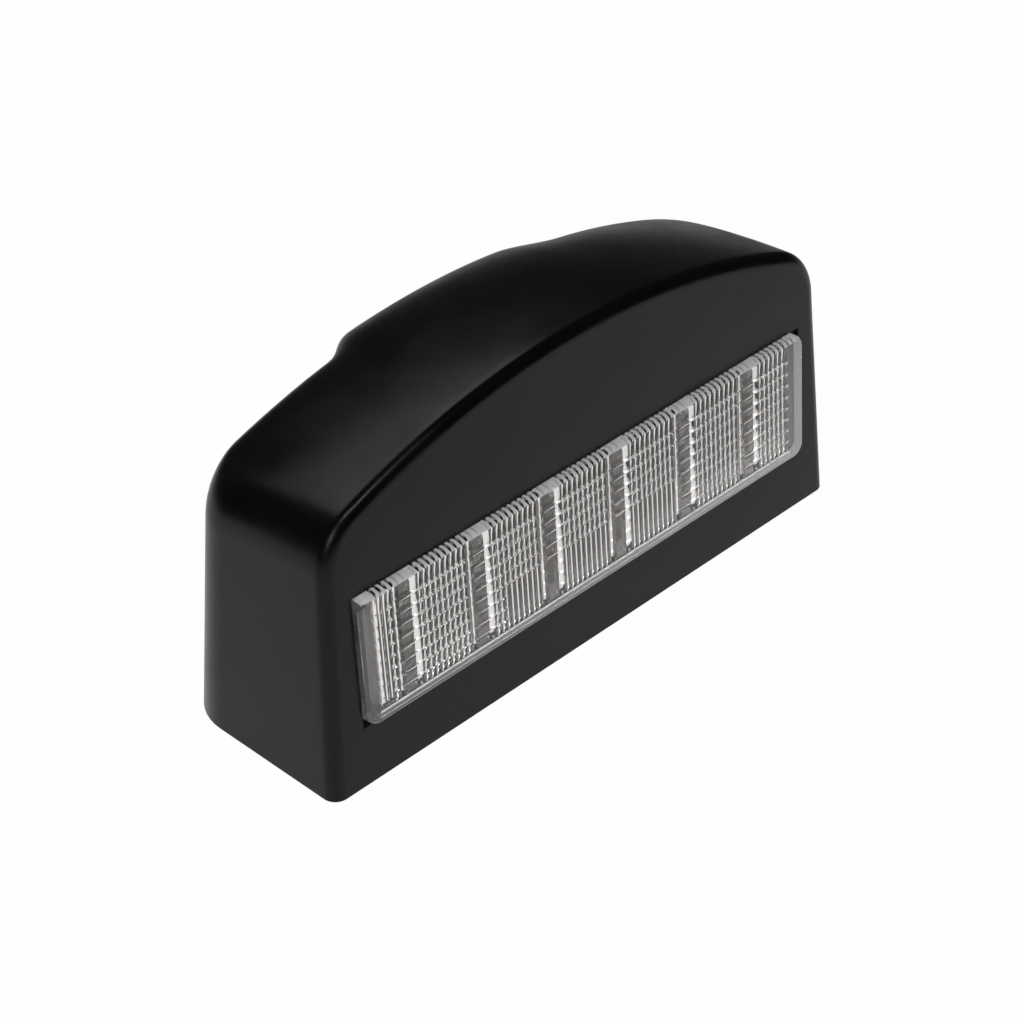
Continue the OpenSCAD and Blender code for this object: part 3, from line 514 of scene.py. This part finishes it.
def optics_grid():
    """The lens's inner face: x, height and z on a grid that follows every crease.

    The height is the largest of pad, reeds and ribs. Each row ends at its foot in a small lip and a steep
    groove, which turn the light back as the upright crests do; the main ribs are only notched there.
    """
    half = OPTICS_WIDTH / 2
    main_ribs = bands + RIB_WIDTH / 2
    sections = ((reeds, REED_WIDTH, REED_LIP, REED_FLANK), (edge_reeds, REED_WIDTH, REED_LIP, REED_FLANK),
                (main_ribs, RIB_WIDTH, RIB_WIDTH, RIB_SIDE))
    starts = [places + shift for places, width, lip, foot in sections
              for shift in (-width - STEEP, -width, -lip, 0, foot)]
    ridge = bands - WEDGE_OFFSET + WEDGE_RIDGE
    edges = [bands - WEDGE_OFFSET - WEDGE_WIDTH / 2, ridge - WEDGE_LIP, ridge,
             ridge + (WEDGE_DEPTH - REED_PAD) / CREST_FLANK]
    x = np.hstack([-half, half] + starts + edges)
    x = np.unique(np.round(x[np.abs(x) <= half], 4))
    crossed = np.maximum(crest(x, reeds, REED_WIDTH, REED_LIP, REED_DEPTH), REED_PAD)
    whole = np.maximum(crest(x, main_ribs, RIB_WIDTH, RIB_WIDTH, RIB_DEPTH - RIB_WIDTH * CREST_SLOPE),
                       crest(x, edge_reeds, REED_WIDTH, REED_LIP, REED_DEPTH))
    whole = np.maximum(whole, np.where(wedge(x) > REED_PAD, wedge(x), 0))
    lines = LOW_ROW + np.arange(ROWS - 1) * ROW_PITCH
    rise, drop = ROW_LIP * CREST_SLOPE, (GROOVE_DEPTH + ROW_LIP * CREST_SLOPE) / CREST_FLANK
    marks = (0, -drop, -drop - STEEP - GROOVE_GAP, ROW_LIP)
    z = np.hstack([0, RIB_TAPER, LEAN_START, OPTICS_HEIGHT] + [lines + mark for mark in marks])
    z = np.unique(np.round(z, 4))
    d = z[:, None] - lines[None]
    change = np.where(d >= 0, np.clip(1 - d / ROW_LIP, 0, None) * rise,
                      np.where(d >= -drop - 1e-4, rise + d * CREST_FLANK, 0))
    change = np.take_along_axis(change, np.abs(change).argmax(1)[:, None], 1)[:, 0]
    plain = (z[None] < LOW_ROW + (PLAIN_ROWS - 1.5) * ROW_PITCH) & (np.abs(x[:, None]) < PLAIN_HALF)
    height = np.maximum(crossed[:, None] + np.where(plain, 0, change[None]), LEAST)
    # Only the ribs stand well above the reeds' peaks, so only they are notched
    notched = np.where(whole[:, None] > REED_PEAK + 0.1, RIB_NOTCH * change[None], 0)
    taper = np.clip(RIB_END + (1 - RIB_END) * z / RIB_TAPER, 0, 1)
    height = np.maximum(height, (whole[:, None] + notched) * taper)
    foot_z, foot = foot_profile()
    height = np.hstack([foot[None].repeat(len(x), 0), height, height[:, -1:]])
    return x, height, np.hstack([foot_z, z, LEAN_END])


x, height, z = optics_grid()
print("optics:", height.shape, "grid of points")

# %% Lens
# Points on each rounded corner and on the rounded front edge, and the angle over which edges stay sharp
CORNER_POINTS, EDGE_POINTS, LENS_SHARP = 8, 8, 35


def ring(depth, inset, grow=0.0):
    """One loop round the lens: a rounded rectangle at a depth, pulled in on every side."""
    r, w, h = LENS_CORNER - inset, LENS_WIDTH / 2 + grow - inset, LENS_HEIGHT / 2 + grow - inset
    a = (np.arange(4)[:, None] * 90 + np.linspace(0, 90, CORNER_POINTS)) * math.pi / 180
    sx, sz = np.array([1, -1, -1, 1])[:, None], np.array([1, 1, -1, -1])[:, None]
    return on_front((sx * (w - r) + r * np.cos(a)).ravel(), np.full(4 * CORNER_POINTS, depth),
                    (LENS_BOTTOM + LENS_HEIGHT / 2 + sz * (h - r) + r * np.sin(a)).ravel())


def lens_mesh():
    """One closed mesh: the outside from the flange's back to the front, the optics, and the walls between."""
    a = np.linspace(math.pi / 2, 0, EDGE_POINTS)
    grow = FLANGE_WIDTH + LENS_GAP
    outside = np.stack(
        [ring(FLANGE_BACK, 0, grow=grow), ring(FLANGE_FRONT, 0, grow=grow), ring(FLANGE_FRONT, 0)]
        + [ring(-LENS_PROUD + LENS_EDGE * (1 - math.cos(v)), LENS_EDGE * (1 - math.sin(v))) for v in a])
    count = outside.shape[1]
    points = [outside.reshape(-1, 3)]
    faces = grid_faces(len(outside), count, True).tolist()
    faces.append(list(range((len(outside) - 1) * count, len(outside) * count)))
    start = outside.size // 3
    # The optics, with one more line of points on every side, at the flange's back
    n, m = height.shape
    gx = np.hstack([x[0], x, x[-1]])[:, None].repeat(m + 2, 1)
    gz = np.hstack([z[0], z, z[-1]])[None].repeat(n + 2, 0) + OPTICS_BOTTOM
    gy = np.full((n + 2, m + 2), FLANGE_BACK)
    gy[1:-1, 1:-1] = PLATE_BACK + height
    gx -= LEAN * np.clip(gz - OPTICS_BOTTOM - LEAN_START, 0, None)
    points.append(on_front(gx, gy, gz).reshape(-1, 3))
    inner = grid_faces(n + 2, m + 2, False)
    corner = np.zeros((n + 1, m + 1), bool)
    corner[0, 0] = corner[0, -1] = corner[-1, 0] = corner[-1, -1] = True
    inner = inner[~corner.ravel()] + start
    faces += inner.tolist()
    mesh = bpy.data.meshes.new("lens_body")
    mesh.from_pydata((np.concatenate(points) * MM).tolist(), [], faces)
    shape = bmesh.new()
    shape.from_mesh(mesh)
    bmesh.ops.remove_doubles(shape, verts=shape.verts, dist=1e-8)
    loose = [v for v in shape.verts if not v.link_faces]
    bmesh.ops.delete(shape, geom=loose, context="VERTS")
    bmesh.ops.triangle_fill(shape, edges=[e for e in shape.edges if e.is_boundary], use_beauty=True)
    bmesh.ops.recalc_face_normals(shape, faces=shape.faces)
    shape.to_mesh(mesh)
    open_edges = sum(e.is_boundary or not e.is_manifold for e in shape.edges)
    shape.free()
    print("lens:", len(mesh.polygons), "faces, open edges:", open_edges)
    return mesh


lens_body = lens_mesh()
shade(lens_body, LENS_SHARP)
lens = new_object("lens_body", lens_body)
lens.data.materials.append(LENS_PLASTIC)
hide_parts("lens")
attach(lens, "root")

# %% [markdown]
# ## Reed ends
#
# The top edge of the lens shows the whitish ends of the reeds and ribs inside. They are bands across X in
# the lens's material, with the pitch of the reeds, narrower towards the top. The thick rim at the foot
# and the ends has a slight haze, whose rise towards the right is painted light. Ends and rim also carry a
# painted glow: they give off faint light though the lamp is not lit.

# %% Reed ends
# How far below the lens's top the ends begin, and where they are full
END_BEGIN, END_FULL = 0.75, 0.6
# Their start beside a reed, and their share of a pitch where they are full and at the top
END_SHIFT, FULL_WIDTH, TOP_WIDTH = 0.85, 0.75, 0.5
# How much of the clear stuff they hide
END_SHARE = 0.9
# The ribs' ends have fainter lines: their pitch, their start, the tone between them and what a line adds
LINE_PITCH, LINE_START, BETWEEN_LINES, LINE_GAIN = 1.47, 0.55, 0.65, 0.3
# The rim's start outside the optics, and its haze at the left and right ends; the rise to the right is
# painted light
RIM_START, LEFT_HAZE_AND_LIGHT, RIGHT_HAZE_AND_LIGHT = 0.3, 0.06, 0.28
# Painted glow: the ends and the hazy rim give off a faint light of their own, from a satin surface
PAINTED_END_GLOW, END_ROUGHNESS = 0.14, 0.3


def fraction(tree, source, pitch, start):
    """Fractional part of a value over a pitch, plus a start."""
    scaled = math_node(tree, "MULTIPLY_ADD", source, 1 / pitch, start)
    return math_node(tree, "FRACT", (scaled, "Value"))


def show_reed_ends_and_painted_glow(made, foot, top):
    """Mix whitish ends, haze and a painted glow into the clear stuff; foot and top are the lens's heights in
    mm.
    """
    tree = made.node_tree
    out = next(node for node in tree.nodes if node.type == "OUTPUT_MATERIAL")
    clear_shader = out.inputs[0].links[0].from_socket
    place = add(tree, "ShaderNodeSeparateXYZ", {0: (millimetres(tree), "Vector")})
    block = fraction(tree, (place, "X"), BAND_PITCH, 1 - bands[0] / BAND_PITCH)
    ribs_start = 1 - (WEDGE_OFFSET + WEDGE_WIDTH / 2) / BAND_PITCH
    ribs = math_node(tree, "GREATER_THAN", (block, "Value"), ribs_start)
    width = map_range(tree, (place, "Z"), top - END_FULL, top, FULL_WIDTH, TOP_WIDTH)
    reeds_start = 1 - (FIRST_REED - END_SHIFT) / REED_PITCH
    reed = fraction(tree, (block, "Value"), REED_PITCH / BAND_PITCH, reeds_start)
    reed_ends = math_node(tree, "LESS_THAN", (reed, "Value"), (width, "Result"))
    line = fraction(tree, (block, "Value"), LINE_PITCH / BAND_PITCH, LINE_START)
    lines = math_node(tree, "LESS_THAN", (line, "Value"), (width, "Result"))
    tone = math_node(tree, "MULTIPLY_ADD", (lines, "Value"), LINE_GAIN, BETWEEN_LINES)
    rib_ends = math_node(tree, "MULTIPLY", (tone, "Value"), (ribs, "Value"))
    across = math_node(tree, "ABSOLUTE", (place, "X"))
    corner = math_node(tree, "GREATER_THAN", (across, "Value"), OPTICS_WIDTH / 2 + RIM_START)
    ends = math_node(tree, "MAXIMUM", (rib_ends, "Value"), (reed_ends, "Value"))
    whitish = math_node(tree, "MAXIMUM", (ends, "Value"), (corner, "Value"))
    high = map_range(tree, (place, "Z"), top - END_BEGIN, top - END_FULL, 0.0, END_SHARE)
    at_top = math_node(tree, "MULTIPLY", (whitish, "Value"), (high, "Result"))
    low = math_node(tree, "LESS_THAN", (place, "Z"), foot + LOW_MARGIN - RIM_START)
    rim = math_node(tree, "MAXIMUM", (low, "Value"), (corner, "Value"))
    # Painted light: the rim's haze grows from the left end to the right end
    haze_and_light_ramp = map_range(tree, (place, "X"), -LENS_WIDTH / 2, LENS_WIDTH / 2, LEFT_HAZE_AND_LIGHT, RIGHT_HAZE_AND_LIGHT)
    rim_haze_and_light = math_node(tree, "MULTIPLY", (rim, "Value"), (haze_and_light_ramp, "Result"))
    share = math_node(tree, "MAXIMUM", (at_top, "Value"), (rim_haze_and_light, "Value"))
    # Painted glow: the whitish ends and the hazy rim give off faint light, though the lamp is not lit
    satin = add(tree, "ShaderNodeBsdfPrincipled", {
        "Base Color": linear("#eef0f3"), "Roughness": END_ROUGHNESS, "Emission Color": linear("#ffffff"),
        "Emission Strength": PAINTED_END_GLOW})
    mix = add(tree, "ShaderNodeMixShader", {0: (share, "Value"), 2: (satin, 0)})
    tree.links.new(clear_shader, mix.inputs[1])
    tree.links.new(mix.outputs[0], out.inputs[0])


lens_heights = on_front(0.0, 0.0, np.array([LENS_BOTTOM, LENS_BOTTOM + LENS_HEIGHT]))[:, 2].tolist()
show_reed_ends_and_painted_glow(LENS_PLASTIC, *lens_heights)
print("reed ends from", round(lens_heights[1] - END_BEGIN, 2), "to", round(lens_heights[1], 2), "mm")

# %% [markdown]
# ## Floor and backdrop
#
# The floor is white. Camera rays see it mostly as plain white, with a part of its shading left so that
# the shadow stays. Refracted and mirrored rays see a part of that white, which fades towards the right
# and the back.

# %% Floor and light
# Half the floor's side and its level, in metres
FLOOR_HALF, FLOOR_LEVEL = 0.4, -0.0002
# Share of light that the board's matt part returns, a linear value
FLOOR_MATT = 0.8
# Share of plain white for mirrored, refracted and camera rays
GLOSSY_FLOOR, THROUGH_LENS, FLOOR_WHITE = 0.66, 0.78, 0.985
# The mirrored share fades between these sums of X and Y, in millimetres, down to FADED
FADE_START, FADE_END, FADED = 80.0, 240.0, 0.1

floor_mesh = bpy.data.meshes.new("floor")
floor_mesh.from_pydata([(x * FLOOR_HALF, y * FLOOR_HALF, FLOOR_LEVEL)
                        for x, y in ((-1, -1), (1, -1), (1, 1), (-1, 1))], [], [(0, 1, 2, 3)])
floor = new_object("floor", floor_mesh)
# Matt white board
floor_white, tree, out = material("white_floor")
matt = add(tree, "ShaderNodeBsdfDiffuse", {"Color": (FLOOR_MATT, FLOOR_MATT, FLOOR_MATT, 1)})
bright = add(tree, "ShaderNodeEmission", {"Color": linear("#ffffff"), "Strength": 1.0})
path = add(tree, "ShaderNodeLightPath")
place = add(tree, "ShaderNodeSeparateXYZ", {0: (millimetres(tree), "Vector")})
along = math_node(tree, "ADD", (place, "X"), (place, "Y"))
fade = map_range(tree, (along, "Value"), FADE_START, FADE_END, GLOSSY_FLOOR, FADED)
mirrored = math_node(tree, "MULTIPLY", (path, "Is Glossy Ray"), (fade, "Result"))
seen = math_node(tree, "MULTIPLY_ADD", (path, "Is Transmission Ray"), THROUGH_LENS, (path, "Is Camera Ray"))
share = math_node(tree, "MULTIPLY_ADD", (seen, "Value"), FLOOR_WHITE, (mirrored, "Value"), clamp=True)
mix = add(tree, "ShaderNodeMixShader", {0: (share, "Value"), 1: (matt, 0), 2: (bright, 0)})
# Seen from below, the floor lets the view through to the lamp's underside
side = add(tree, "ShaderNodeNewGeometry")
gone = add(tree, "ShaderNodeBsdfTransparent")
both = add(tree, "ShaderNodeMixShader", {0: (side, "Backfacing"), 1: (mix, 0), 2: (gone, 0)})
tree.links.new(both.outputs[0], out.inputs[0])
floor.data.materials.append(floor_white)

world = bpy.data.worlds.new("studio")
bpy.context.scene.world = world
world.use_nodes = True
tree = world.node_tree
tree.nodes.clear()
out = tree.nodes.new("ShaderNodeOutputWorld")
path = add(tree, "ShaderNodeLightPath")
room = add(tree, "ShaderNodeBackground", {"Color": linear("#e8ebee"), "Strength": 0.05})
white = add(tree, "ShaderNodeBackground", {"Color": linear("#ffffff"), "Strength": 1.0})
seen = math_node(tree, "MULTIPLY_ADD", (path, "Is Transmission Ray"), THROUGH_LENS, (path, "Is Camera Ray"))
mix = add(tree, "ShaderNodeMixShader", {0: (seen, "Value"), 1: (room, 0), 2: (white, 0)})
tree.links.new(mix.outputs[0], out.inputs[0])


def softbox(name, place, aim, size, power):
    """A rectangular area light at a place, turned to a point; metres and watts."""
    data = bpy.data.lights.new(name, "AREA")
    data.shape, data.size, data.size_y = "RECTANGLE", size[0], size[1]
    data.energy = power
    lamp = bpy.data.objects.new(name, data)
    lamp.location = place
    lamp.rotation_euler = (Vector(aim) - Vector(place)).to_track_quat("-Z", "Y").to_euler()
    bpy.context.collection.objects.link(lamp)


AIM = (0, 0, 0.03)
softbox("left_box", (-0.9, -0.6, 0.7), AIM, (0.4, 0.4), 2.5)
softbox("back_box", (0.1, 0.55, 0.8), AIM, (0.8, 0.5), 2.0)
softbox("front_strip", (-0.15, -0.5, 0.85), AIM, (0.45, 0.04), 1.3)

view = bpy.context.scene.view_settings
view.view_transform = "Standard"
